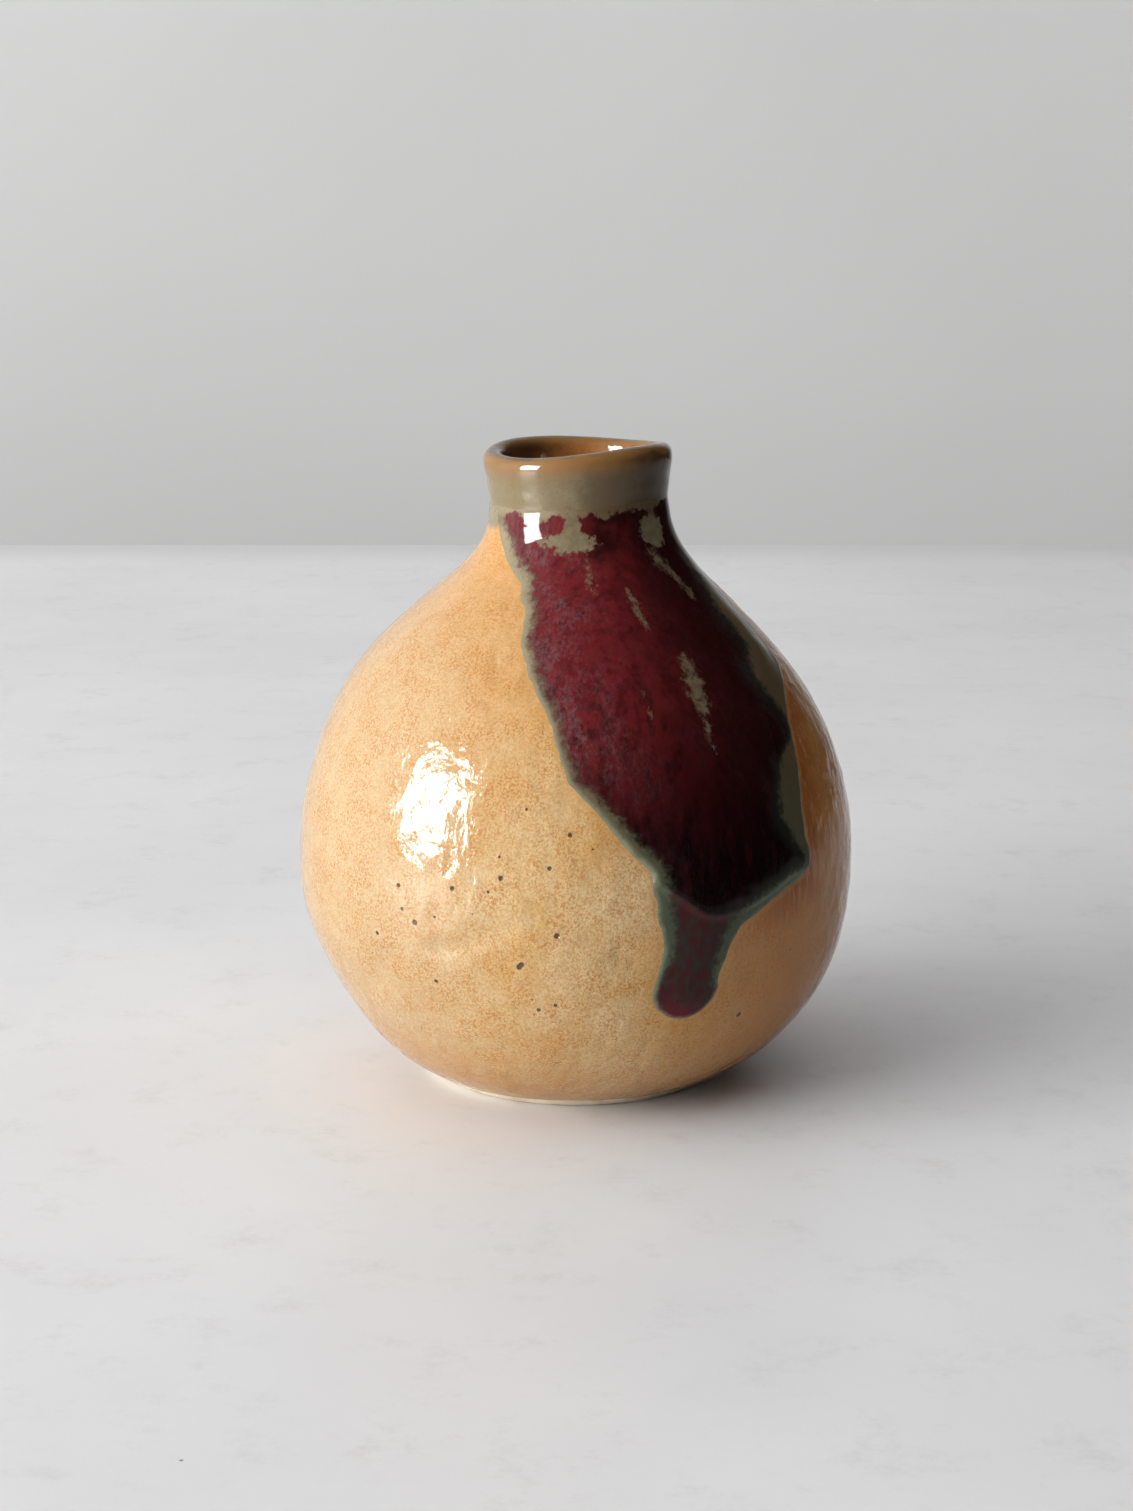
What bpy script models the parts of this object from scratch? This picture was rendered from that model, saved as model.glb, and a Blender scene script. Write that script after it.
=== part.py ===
"""Hand-thrown ceramic bud vase: one fired stoneware wall and the four glaze coats that lie on it.

The pot is a squat globe with a short collared neck. It stands on z = 0 with its axis on +Z, and its
front, where the dark red glaze was poured, faces -Y. Every coat follows one line, the skin, which is
the glazed surface in section: up the outside, over the lip and down the inside to the floor. The clay
lies under that line by the thickness of a coat and the gap that keeps the solids apart.

The tables are in millimetres and degrees. Bearings are counted from the front, positive towards +X.
"""

import math

import bmesh
import bpy
from mathutils import Matrix, Vector

MM = 0.001

# Driving dimensions
BELLY_RADIUS = 50.5
NECK_RADIUS = 15.9
LIP_HEIGHT = 114.6
LIP_ROUND = 1.6
LIP_CENTRE_RADIUS = 14.95
FOOT_RADIUS = 26.0
FOOT_RING_WIDTH = 6.0
FOOT_RECESS = 1.4
FLOOR_HEIGHT = 6.5

# Glaze, and where one coat stops and the next begins
COAT = 0.4
GAP = 0.3
WIPED_FOOT = 1.7
COLLAR_OUTSIDE = 103.6
COLLAR_INSIDE = 106.5

# Turning
SEGMENTS = 48
LIP_STEPS = 6
SHARP_ANGLE = 40
WELD = 0.00001

# The skin outside, from the foot up to the lip: radius and height
OUTSIDE = [
    (27.3, 0.9),
    (31.2, 3.2),
    (37.3, 8.0),
    (42.9, 15.0),
    (47.6, 24.0),
    (49.9, 32.0),
    (BELLY_RADIUS, 39.5),
    (50.0, 48.0),
    (47.9, 57.5),
    (44.2, 67.0),
    (38.9, 75.5),
    (32.2, 83.0),
    (25.6, 89.2),
    (20.6, 94.0),
    (17.6, 98.0),
    (16.3, 101.8),
    (NECK_RADIUS, 105.8),
    (16.2, 110.0),
]

# The skin inside, from the lip down to the middle of the floor
INSIDE = [
    (13.0, 110.0),
    (12.5, 106.0),
    (12.9, 101.5),
    (14.8, 96.3),
    (19.2, 91.0),
    (25.6, 85.0),
    (33.0, 77.0),
    (39.6, 67.0),
    (43.8, 56.5),
    (45.7, 45.0),
    (45.4, 33.0),
    (42.2, 22.5),
    (35.5, 13.5),
    (25.0, 8.3),
    (12.0, 6.8),
    (0.0, FLOOR_HEIGHT),
]

# The wall leans towards +X by this much: height and distance
LEAN = [(0, -0.3), (8, 0.4), (18, 0.8), (34, 0.0), (60, -0.3), (81, -0.7), (95, 0.3), (116, 0.0)]
LEAN_FADES_INSIDE = 12.0

# The lip waves as it goes round: crests in the turn, height of a crest, and the bearing of one
LIP_WAVES = [(1, 0.6, 67), (2, 0.6, 46)]
LIP_WAVE_STARTS = 92.0

# Where fingers pressed the soft wall: bearing, height, reach and depth
PRESSED = [
    (-22, 31, 12, 0.45),
    (12, 28, 9, 0.35),
    (85, 30, 20, 0.4),
    (165, 34, 25, 0.4),
    (-135, 50, 22, 0.5),
]

# The edges of the red pour from the tip of its drip up to the neck: height and bearing
POUR_LEFT = [
    (21.6, 22.2),
    (22.4, 19.3),
    (24.6, 16.6),
    (28.5, 15.2),
    (35.0, 16.0),
    (43.0, 14.9),
    (50.0, 13.0),
    (55.0, 7.8),
    (59.5, 2.8),
    (65.0, -3.2),
    (71.0, -6.1),
    (78.0, -12.2),
    (84.0, -18.8),
    (90.0, -23.4),
    (94.0, -31.8),
    (98.0, -50.0),
    (103.2, -70.0),
]
POUR_RIGHT = [
    (21.6, 24.2),
    (22.4, 26.5),
    (24.6, 28.8),
    (28.5, 29.9),
    (33.5, 30.8),
    (37.0, 33.5),
    (40.2, 40.2),
    (43.0, 48.5),
    (46.5, 54.0),
    (52.0, 53.4),
    (58.0, 55.2),
    (65.5, 60.2),
    (71.0, 63.5),
    (74.5, 70.0),
    (77.7, 78.0),
    (80.5, 80.5),
    (84.0, 82.5),
    (88.0, 84.5),
    (92.0, 91.0),
    (97.0, 104.0),
    (103.2, 116.5),
]
POUR_COLUMNS = 18
POUR_ROWS = 34
POUR_ROWS_CROWD_TO_TIP = 1.3
POUR_EDGE = 0.35
POUR_MIDDLE = 0.9

# The thick roll where the main sheet stopped: bearing and height
ROLL = [(12, 49.6), (19, 45.3), (25.5, 41.4), (33.6, 41.6), (47.3, 45.7)]
ROLL_REACH = 2.6
ROLL_RISE = 0.5

# The bead that gathered at the tip of the drip
BEAD_HEIGHT = 25.5
BEAD_REACH = 4.0
BEAD_RISE = 0.5

# Colour, roughness and metallic value of each material
CLAY = ((0.62, 0.47, 0.33), 0.85, 0.0)
BUFF = ((0.80, 0.55, 0.28), 0.18, 0.0)
LINER = ((0.62, 0.36, 0.16), 0.2, 0.0)
RED = ((0.16, 0.015, 0.02), 0.1, 0.0)
CELADON = ((0.36, 0.32, 0.20), 0.12, 0.0)


def clear_scene():
    for item in list(bpy.data.objects):
        bpy.data.objects.remove(item)


def material(name, finish):
    colour, roughness, metallic = finish
    made = bpy.data.materials.new(name)
    made.use_nodes = True
    shader = made.node_tree.nodes["Principled BSDF"]
    shader.inputs["Base Color"].default_value = (*colour, 1.0)
    shader.inputs["Roughness"].default_value = roughness
    shader.inputs["Metallic"].default_value = metallic
    return made


def hermite(points, x):
    """A smooth curve through (x, y) points whose x rises. It stays level past both ends."""
    if x <= points[0][0]:
        return points[0][1]
    if x >= points[-1][0]:
        return points[-1][1]
    last = len(points) - 1
    i = next(k for k in range(last) if x <= points[k + 1][0])

    def slope(k):
        before, after = points[max(k - 1, 0)], points[min(k + 1, last)]
        return (after[1] - before[1]) / (after[0] - before[0])

    (x0, y0), (x1, y1) = points[i], points[i + 1]
    width = x1 - x0
    t = (x - x0) / width
    level = y0 * (1 + 2 * t) * (1 - t) ** 2 + y1 * t * t * (3 - 2 * t)
    return level + width * (slope(i) * t * (1 - t) ** 2 - slope(i + 1) * t * t * (1 - t))


def smooth_step(t):
    t = min(max(t, 0.0), 1.0)
    return t * t * (3 - 2 * t)


def bump(distance, reach):
    return math.exp(-((distance / reach) ** 2))


def lip_arc():
    """The rounded lip, from its outer side over the top to its inner side."""
    centre = Vector((LIP_CENTRE_RADIUS, LIP_HEIGHT - LIP_ROUND))
    turns = [math.pi * k / LIP_STEPS for k in range(LIP_STEPS + 1)]
    return [centre + LIP_ROUND * Vector((math.cos(turn), math.sin(turn))) for turn in turns]


SKIN = [Vector(point) for point in OUTSIDE] + lip_arc() + [Vector(point) for point in INSIDE]


def crossing(height, stations):
    """Where a run of the skin passes a height, as an index into the skin with a fraction."""
    for k in stations:
        low, high = SKIN[k].y, SKIN[k + 1].y
        if min(low, high) <= height <= max(low, high):
            return k + (height - low) / (high - low)
    raise ValueError("the skin does not pass this height")


def outside_at(height):
    return crossing(height, range(len(OUTSIDE)))


def inside_at(height):
    return crossing(height, range(len(SKIN) - len(INSIDE) - 1, len(SKIN) - 1))


def skin_at(place):
    k = min(int(place), len(SKIN) - 2)
    return SKIN[k].lerp(SKIN[k + 1], place - k)


def stretch(start, end):
    """The skin between two places on it."""
    between = SKIN[math.floor(start) + 1 : math.ceil(end)]
    return [skin_at(start), *between, skin_at(end)]


def inward(line, k):
    """The unit direction into the clay at point k of a line that runs the way the skin does."""
    along = line[min(k + 1, len(line) - 1)] - line[max(k - 1, 0)]
    return Vector((-along.y, along.x)).normalized()


def under(line, depth):
    """The line moved into the clay. A point on the axis stays on the axis."""
    moved = [point + inward(line, k) * depth for k, point in enumerate(line)]
    return [Vector((spot.x if point.x > 0 else 0.0, spot.y)) for spot, point in zip(moved, line)]


def coat(line):
    """The section of a glaze coat whose outer face is this stretch of the skin."""
    return line + under(line, COAT)[::-1]


def clay_section():
    """The clay under the whole skin, closed along the underside with its turned foot ring."""
    ring_inside = FOOT_RADIUS - FOOT_RING_WIDTH
    recess = [(0.0, FOOT_RECESS), (ring_inside - FOOT_RECESS, FOOT_RECESS)]
    ring = [(ring_inside, 0.0), (FOOT_RADIUS, 0.0)]
    return [Vector(point) for point in recess + ring] + under(SKIN, COAT + GAP)


def pressed_in(bearing, radius, height):
    """How far the finger marks push the wall in at a point."""
    total = 0.0
    for mark_bearing, mark_height, reach, depth in PRESSED:
        turn = math.remainder(bearing - math.radians(mark_bearing), math.tau)
        total += depth * bump(math.hypot(turn * radius, height - mark_height), reach)
    return total


def lip_wave(bearing):
    return sum(high * math.cos(n * (bearing - math.radians(crest))) for n, high, crest in LIP_WAVES)


def thrown(bearing, radius, height):
    """The point in metres where the thrower's hands left a point of the true turned form."""
    shift = hermite(LEAN, height) * math.sin(bearing) - pressed_in(bearing, radius, height)
    shift *= smooth_step(radius / LEAN_FADES_INSIDE)
    rise = lip_wave(bearing) * smooth_step((height - LIP_WAVE_STARTS) / (LIP_HEIGHT - LIP_WAVE_STARTS))
    reach = radius + shift
    return Vector((reach * math.sin(bearing), -reach * math.cos(bearing), height + rise)) * MM


def solid(name, shape, look):
    """Makes a named object of a finished bmesh, facing outwards, with its material and smooth shading."""
    bmesh.ops.recalc_face_normals(shape, faces=shape.faces)
    mesh = bpy.data.meshes.new(name)
    shape.to_mesh(mesh)
    shape.free()
    mesh.materials.append(look)
    mesh.shade_smooth()
    mesh.set_sharp_from_angle(angle=math.radians(SHARP_ANGLE))
    made = bpy.data.objects.new(name, mesh)
    bpy.context.scene.collection.objects.link(made)
    return made


def turned(name, section, look):
    """Spins a section round the axis. A section that starts off the axis is closed on itself."""
    shape = bmesh.new()
    verts = [shape.verts.new((radius * MM, 0, height * MM)) for radius, height in section]
    edges = [shape.edges.new(pair) for pair in zip(verts, verts[1:])]
    if section[-1].x > 0:
        edges.append(shape.edges.new((verts[-1], verts[0])))
    bmesh.ops.spin(
        shape,
        geom=verts + edges,
        cent=(0, 0, 0),
        axis=(0, 0, 1),
        angle=math.tau,
        steps=SEGMENTS,
        use_merge=True,
    )
    bmesh.ops.remove_doubles(shape, verts=shape.verts, dist=WELD)
    for vert in shape.verts:
        bearing = math.atan2(vert.co.x, -vert.co.y)
        vert.co = thrown(bearing, vert.co.xy.length / MM, vert.co.z / MM)
    return solid(name, shape, look)


def pour_thickness(across, bearing, height):
    """Thickness of the pour: thin at its edges, with a roll across it and a bead at the tip."""
    middle = math.sqrt(max(0.0, 1 - (2 * across - 1) ** 2))
    roll = ROLL_RISE * bump(height - hermite(ROLL, bearing), ROLL_REACH)
    bead = BEAD_RISE * bump(height - BEAD_HEIGHT, BEAD_REACH)
    return POUR_EDGE + middle * (POUR_MIDDLE - POUR_EDGE + roll + bead)


def pour_point(across, up, on_top):
    """A point of the pour, from its left edge to its right and from its tip to the neck."""
    tip, top = POUR_LEFT[0][0], POUR_LEFT[-1][0]
    height = tip + (top - tip) * up**POUR_ROWS_CROWD_TO_TIP
    left, right = hermite(POUR_LEFT, height), hermite(POUR_RIGHT, height)
    bearing = left + (right - left) * across
    place = outside_at(height)
    k = int(place)
    outward = -inward(SKIN, k).lerp(inward(SKIN, k + 1), place - k).normalized()
    lift = GAP + (pour_thickness(across, bearing, height) if on_top else 0.0)
    spot = skin_at(place) + outward * lift
    return thrown(math.radians(bearing), spot.x, spot.y)


def oxblood_pour():
    """A grid raised off itself by one extrusion, then laid over the shoulder of the pot."""
    shape = bmesh.new()
    bmesh.ops.create_grid(shape, x_segments=POUR_COLUMNS, y_segments=POUR_ROWS, size=1)
    raised = bmesh.ops.extrude_face_region(shape, geom=shape.faces[:], use_keep_orig=True)["geom"]
    for item in raised:
        if isinstance(item, bmesh.types.BMVert):
            item.co.z = 1
    for vert in shape.verts:
        across, up, on_top = (vert.co.x + 1) / 2, (vert.co.y + 1) / 2, vert.co.z > 0
        vert.co = pour_point(across, up, on_top)
    return solid("oxblood_pour", shape, material("copper red glaze", RED))


def stoneware_body():
    return turned("stoneware_body", clay_section(), material("fired stoneware", CLAY))


def buff_glaze():
    line = stretch(outside_at(WIPED_FOOT), outside_at(COLLAR_OUTSIDE - GAP))
    return turned("buff_glaze", coat(line), material("buff glaze", BUFF))


def celadon_collar():
    line = stretch(outside_at(COLLAR_OUTSIDE), inside_at(COLLAR_INSIDE))
    return turned("celadon_collar", coat(line), material("celadon glaze", CELADON))


def liner_glaze():
    line = stretch(inside_at(COLLAR_INSIDE - GAP), len(SKIN) - 1)
    return turned("liner_glaze", coat(line), material("liner glaze", LINER))


def stand_on_origin(pieces):
    """Moves everything together until the middle of the bounding box's bottom is the origin."""
    points = [vert.co for piece in pieces for vert in piece.data.vertices]
    lows = [min(point[axis] for point in points) for axis in range(3)]
    highs = [max(point[axis] for point in points) for axis in range(3)]
    middle = Vector(((lows[0] + highs[0]) / 2, (lows[1] + highs[1]) / 2, lows[2]))
    for piece in pieces:
        piece.data.transform(Matrix.Translation(-middle))


clear_scene()
stand_on_origin([stoneware_body(), liner_glaze(), buff_glaze(), oxblood_pour(), celadon_collar()])
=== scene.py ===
import math

import bpy
import numpy as np
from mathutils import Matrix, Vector, kdtree, noise
from mathutils.bvhtree import BVHTree


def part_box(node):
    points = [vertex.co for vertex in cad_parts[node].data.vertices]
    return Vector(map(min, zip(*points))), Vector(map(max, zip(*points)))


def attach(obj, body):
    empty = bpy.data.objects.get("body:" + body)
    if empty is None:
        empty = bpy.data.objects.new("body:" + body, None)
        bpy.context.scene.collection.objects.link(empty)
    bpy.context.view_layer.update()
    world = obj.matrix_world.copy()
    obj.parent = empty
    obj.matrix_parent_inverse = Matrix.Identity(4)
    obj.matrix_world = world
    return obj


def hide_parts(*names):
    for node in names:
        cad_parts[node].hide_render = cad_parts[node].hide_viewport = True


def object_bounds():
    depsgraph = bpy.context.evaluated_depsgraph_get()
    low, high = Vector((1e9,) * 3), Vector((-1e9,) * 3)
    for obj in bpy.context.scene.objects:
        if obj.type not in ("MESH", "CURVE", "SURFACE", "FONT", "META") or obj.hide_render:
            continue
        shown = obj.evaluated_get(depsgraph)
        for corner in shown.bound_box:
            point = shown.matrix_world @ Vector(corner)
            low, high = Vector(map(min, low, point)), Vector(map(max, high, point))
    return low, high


# Looks of a hand-thrown ceramic bud vase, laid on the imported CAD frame.
#
# The skin of the pot is read from the frame and made smooth. Five pieces are then drawn over it, one for
# the clay and one for each glaze. Lengths in the tables are millimetres. Bearings are degrees counted
# from the front, which faces -Y, and positive towards +X.

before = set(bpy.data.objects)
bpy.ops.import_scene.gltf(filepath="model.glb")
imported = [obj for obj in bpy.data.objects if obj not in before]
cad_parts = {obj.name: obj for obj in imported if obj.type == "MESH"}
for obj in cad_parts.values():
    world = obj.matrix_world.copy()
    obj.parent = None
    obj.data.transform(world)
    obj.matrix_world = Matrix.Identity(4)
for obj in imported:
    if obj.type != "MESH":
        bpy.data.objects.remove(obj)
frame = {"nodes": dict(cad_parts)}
CAD_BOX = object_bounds()

MM = 0.001

# How the CAD's coats were turned: columns round the pot, the least distance of their outer skin from the
# clay, and the thickness of the wall at the lip
CAD_COLUMNS = 48
SKIN_OVER_CLAY = 0.5
LIP_WALL = 3.2

# Rows and columns of each mesh
BUFF_GRID = (190, 480)
COLLAR_GRID = (110, 400)
LINER_GRID = (120, 240)
CLAY_GRID = (150, 280)
POUR_GRID = (330, 150)

# Points along the section of the pot, each edge of the pour, its tip, a streak and a dent
SECTION_POINTS = 2000
EDGE_POINTS = 1200
TIP_POINTS = 8
STREAK_POINTS = 16
DENT_POINTS = 12

# How strongly the pour's columns crowd to its edges and its rows to the drip
EDGE_CROWDING = 0.6
DRIP_CROWDING = 1.25

# Heights at which the coats end, and how far one runs on under the next
COLLAR_LOW = 104.6
COLLAR_INSIDE = 106.5
BUFF_LOW_EDGE = 1.9
OVERLAP = 1.5

# The outline of the pour from its drip to under the collar: height and bearing
POUR_LEFT = [
    (26.5, 15),
    (29, 15),
    (32.5, 16),
    (36, 16.5),
    (40.5, 15.5),
    (45.5, 14.5),
    (49.5, 13.5),
    (52, 10.5),
    (55, 7.5),
    (59.5, 3),
    (63.5, -2),
    (66, -3.5),
    (69, -5),
    (75, -9),
    (79.5, -14),
    (84.5, -19),
    (89.5, -22.5),
    (91, -26),
    (93, -29),
    (94.5, -35.5),
    (97.5, -48.5),
    (100, -58),
    (102, -63),
    (107, -72),
]
POUR_RIGHT = [
    (26.5, 29.5),
    (29, 29.5),
    (32.5, 30.5),
    (35.5, 32),
    (37.5, 34),
    (40, 39),
    (42.5, 46.5),
    (44, 51.5),
    (46.5, 53.5),
    (51, 53.5),
    (55, 54),
    (60, 56),
    (67, 59),
    (70, 61.5),
    (74, 68.5),
    (77.5, 78),
    (80.5, 80.5),
    (84, 82.5),
    (88, 84.5),
    (92, 91),
    (97, 104),
    (107, 118),
]

# The round end of the drip: the height of its tip and where the rounding starts, and its middle bearing
DRIP_END = 21.5
DRIP_ROUND_FROM = 27.5
DRIP_MIDDLE = 22.5

# Width of the celadon border inside each edge of the pour: height and width
BORDER_LEFT = [
    (24, 0.0),
    (29, 0.5),
    (32, 1.2),
    (36, 2.1),
    (45, 2.6),
    (52, 2.2),
    (60, 2.0),
    (66, 1.5),
    (75, 1.6),
    (85, 1.8),
    (95, 2.1),
    (102, 2.6),
]
BORDER_RIGHT = [
    (22, 0.0),
    (27, 0.5),
    (30, 1.6),
    (37, 2.4),
    (43, 2.8),
    (47, 2.4),
    (50.5, 4.0),
    (54, 6.0),
    (61, 6.6),
    (64, 5.6),
    (67, 1.0),
    (70.5, 1.5),
    (73, 4.5),
    (75.5, 7.5),
    (78, 9.5),
    (81, 10),
    (86, 10.5),
    (90, 8.5),
    (94, 5.5),
]

# The tide line where the celadon of the neck gives way to the red: bearing and height
TIDE = [
    (-64, 101),
    (-50, 104.6),
    (-43, 105.3),
    (-36, 104.2),
    (-21, 103.4),
    (-13, 105.0),
    (-7, 103.4),
    (0, 104.4),
    (8, 104.6),
    (16, 103.9),
    (25, 104.3),
    (36, 104.6),
    (50, 104.1),
    (64, 105.2),
    (118, 105.4),
]

# Height above which the buff glaze too has celadon over it
TIDE_OVER_BUFF = 102.4

# Celadon islands in the red: bearing, height, half width and half height
ISLANDS = [(-3, 99.9, 4.0, 1.9), (-3.5, 102.6, 1.5, 2.6), (-14, 100.2, 2.2, 1.0), (51, 100.8, 3.0, 3.0)]

# Celadon streaks in the red: bearing and height at each end, half width and strength
STREAKS = [
    (4, 97, 7, 91.5, 1.8, 0.3),
    (21.5, 92, 24.0, 86.0, 1.2, 0.7),
    (42, 98, 50.0, 93.4, 2.2, 0.6),
    (51, 93.5, 52.2, 89.6, 1.2, 0.9),
    (32.5, 81, 31.6, 73.5, 2.3, 0.9),
    (31, 73, 31.6, 67.0, 1.6, 0.35),
    (17, 78.5, 17.5, 73.0, 1.2, 0.3),
]

# The roll that ends the main sheet: bearing and height
ROLL = [(12, 49.6), (19, 45.3), (25.5, 41.4), (33.6, 41.6), (47.3, 45.7)]

# Pinholes in the buff glaze: bearing, height and radius
PINHOLES = [
    (-15, 48, 0.55),
    (-17.5, 45.5, 0.35),
    (-25, 45.5, 0.5),
    (-37.5, 44.5, 0.5),
    (-36.5, 40.5, 0.4),
    (-33.5, 38.5, 0.6),
    (-29, 40, 0.3),
    (-43.5, 35, 0.5),
    (-4, 38.5, 0.6),
    (-11.5, 32.5, 0.6),
    (-11, 33, 0.6),
    (-1.5, 55.5, 0.5),
    (-10.5, 59.5, 0.3),
    (-5.5, 50, 0.45),
    (-4.5, 25.5, 0.4),
    (-8, 24.5, 0.45),
    (-30, 28, 0.45),
    (-15.5, 51.5, 0.3),
    (37, 20.5, 0.6),
    (26, 24.5, 0.4),
]

# Marks pressed into the lower front: bearing and height at each end, half width and depth
DENTS = [(-29, 34, -13.5, 39, 2.2, 0.26), (8, 35, 10, 33.5, 2.0, 0.3), (-52, 24, -40, 30, 4.0, 0.3)]

# Layers of unevenness: the height, size, seed and flatness of each layer of noise
THROWN = [(0.12, 16, 11, 0.6), (0.06, 7, 12, 1.0)]
DIMPLED = [(0.10, 3.6, 13, 1.0), (0.09, 2.0, 14, 1.0)]
POUR_FLOW = [(0.05, 5, 31, 1.0), (0.02, 2.2, 32, 1.0)]
LEFT_WAVER = [(1.0, 2.6, 1, 1.0), (0.5, 1.1, 2, 1.0)]
RIGHT_WAVER = [(1.0, 3.1, 3, 1.0), (0.4, 1.3, 4, 1.0)]
BUFF_EDGE_WAVER = [(0.5, 9, 21, 1.0), (0.25, 3, 22, 1.0)]

# Heights between which the unevenness dies out at the neck and grows from the foot
NECK_SMOOTHS = (106, 96)
FOOT_SMOOTHS = (0, 6)

# How far the noise pushes the pour's edges sideways
POUR_WAVER = 0.35

# How deep the dimples are on the pour, as a share of those on the buff glaze
POUR_DIMPLES = 0.3

# The pour: how far its edge is sunk and how wide it is rounded, how thick it is near its edges above the
# shoulder and below it and in its middle, and how much it lies thinner in the drip
POUR_SUNK = 0.12
POUR_EDGE_WIDTH = 1.5
POUR_THIN_ABOVE = 0.2
POUR_THIN = 0.45
POUR_THICK = 0.8
DRIP_THINNER = 0.25

# Heights between which the pour's edges thicken downwards and the whole pour thins out under the collar
EDGES_THICKEN = (66, 50)
POUR_THINS_OUT = (106, 92)

# The roll over the drip: its rise and its reach above and below its line
ROLL_RISE = 0.5
ROLL_ABOVE = 4.0
ROLL_BELOW = 1.0

# The bead at the drip's end: the height of its middle, its half height and its rise
BEAD_HEIGHT = 25.5
BEAD_REACH = 3.5
BEAD_RISE = 0.3

# The rounded lower edge of the buff glaze: its width and drop, and the rows that draw it
BUFF_EDGE_WIDTH = 0.5
BUFF_EDGE_DROP = 0.3
BUFF_EDGE_ROWS = [0, 0.06, 0.14, 0.24, 0.36, 0.5]
BUFF_EDGE_END = 0.7

# The collar: its rise over the skin, the width of the slope at its lower edge and the waver of that edge
COLLAR_LIFT = 0.32
COLLAR_SLOPE = 3.5
COLLAR_WAVER = 0.4

# Coats that lie on others are sunk a little, so that no gap shows
SUNK = 0.05

# Depth of the clay's own surface under the skin: least, and more above the foot
CLAY_DEPTH = 0.3
CLAY_DEPTH_MORE = 0.35

# Radius of the small hole at the middle of the floor that one face closes
FLOOR_CAP = 0.3

# Vertices of the clay below the first height belong to its underside, and below the second to its foot
UNDERSIDE = 3
FOOT_LEVEL = 0.05

# How far the foot ring's edges are rounded
FOOT_ROUND = 0.3


def srgb(red, green, blue):
    """A colour given as a screen shows it, 0 to 255, as linear RGBA."""
    def linear(value):
        value /= 255
        return value / 12.92 if value <= 0.04045 else ((value + 0.055) / 1.055) ** 2.4

    return (linear(red), linear(green), linear(blue), 1.0)


# ---------------------------------------------------------------- the skin of the pot


def spline_weights(knots, places):
    """Rows of weights that read a natural cubic spline through values at the knots."""
    count = len(knots)
    gap = np.diff(knots)
    bends, sides = np.eye(count), np.zeros((count, count))
    for k in range(1, count - 1):
        bends[k, k - 1 : k + 2] = gap[k - 1] / 6, (gap[k - 1] + gap[k]) / 3, gap[k] / 6
        sides[k, k - 1 : k + 2] = 1 / gap[k - 1], -1 / gap[k - 1] - 1 / gap[k], 1 / gap[k]
    bending = np.linalg.solve(bends, sides)
    i = np.clip(np.searchsorted(knots, places) - 1, 0, count - 2)
    after = (places - knots[i]) / gap[i]
    before = 1 - after
    level = np.eye(count)
    weights = before[:, None] * level[i] + after[:, None] * level[i + 1]
    curl = (before**3 - before)[:, None] * bending[i] + (after**3 - after)[:, None] * bending[i + 1]
    return weights + curl * (gap[i] ** 2 / 6)[:, None]


def turn_weights(bearings):
    """Rows of weights that read a smooth closed curve through values at the CAD's columns."""
    apart = bearings[:, None] - np.arange(CAD_COLUMNS) * math.tau / CAD_COLUMNS
    half = np.tan(apart / 2)
    on_column = np.abs(half) < 1e-9
    half[on_column] = 1
    weights = np.sin(CAD_COLUMNS * apart / 2) / (CAD_COLUMNS * half)
    weights[on_column] = 1
    return weights


def cad_columns(node, clay, order):
    """The points of a turned coat that lie on the skin, as an array of station, column and place."""
    over = SKIN_OVER_CLAY * MM
    on_skin = {v.co.to_tuple(6) for v in node.data.vertices if clay.find_nearest(v.co)[3] > over}
    columns = [[] for _ in range(CAD_COLUMNS)]
    for point in map(Vector, on_skin):
        if point.xy.length > MM:
            turn = math.atan2(point.x, -point.y) / math.tau
            columns[round(turn * CAD_COLUMNS) % CAD_COLUMNS].append(point)
    return np.array([sorted(column, key=order) for column in columns]).transpose(1, 0, 2)


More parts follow.
